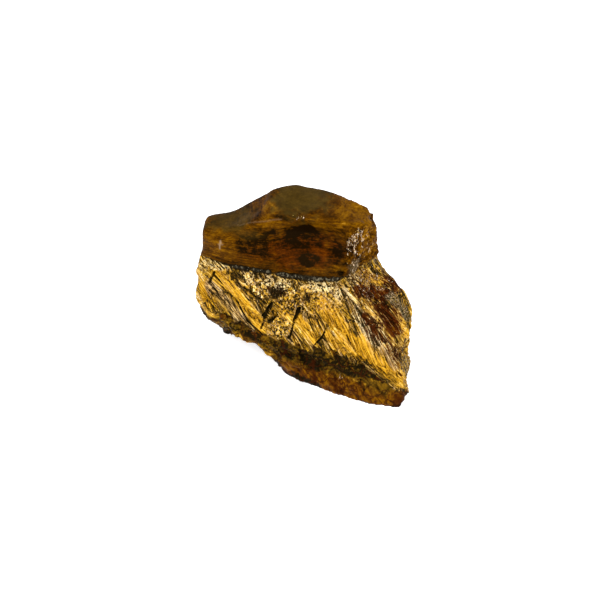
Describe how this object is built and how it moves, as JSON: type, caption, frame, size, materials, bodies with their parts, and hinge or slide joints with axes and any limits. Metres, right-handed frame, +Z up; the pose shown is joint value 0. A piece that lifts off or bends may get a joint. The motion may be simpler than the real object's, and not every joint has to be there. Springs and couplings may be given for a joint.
{
  "type": "rough tiger's eye stone",
  "caption": "Rough broken piece of tiger's eye with a smooth brown cap on a band of slanting golden fibres, lying on its flat underside.",
  "frame": {"origin": "in the plane the stone rests on, under the middle of its bounding box", "axes": "+X to the right along the length of the stone, +Y from the fibre band at the front to the back, +Z up from the underside through the fibres to the brown cap"},
  "size_m": [0.0554, 0.0462, 0.0408],
  "materials": {
    "tigers_eye": "broken silky quartz, golden brown: waxy on the cap and the fibres, dull on the dark base"
  },
  "bodies": {
    "root": {"tigers_eye": "tigers_eye"}
  },
  "joints": []
}
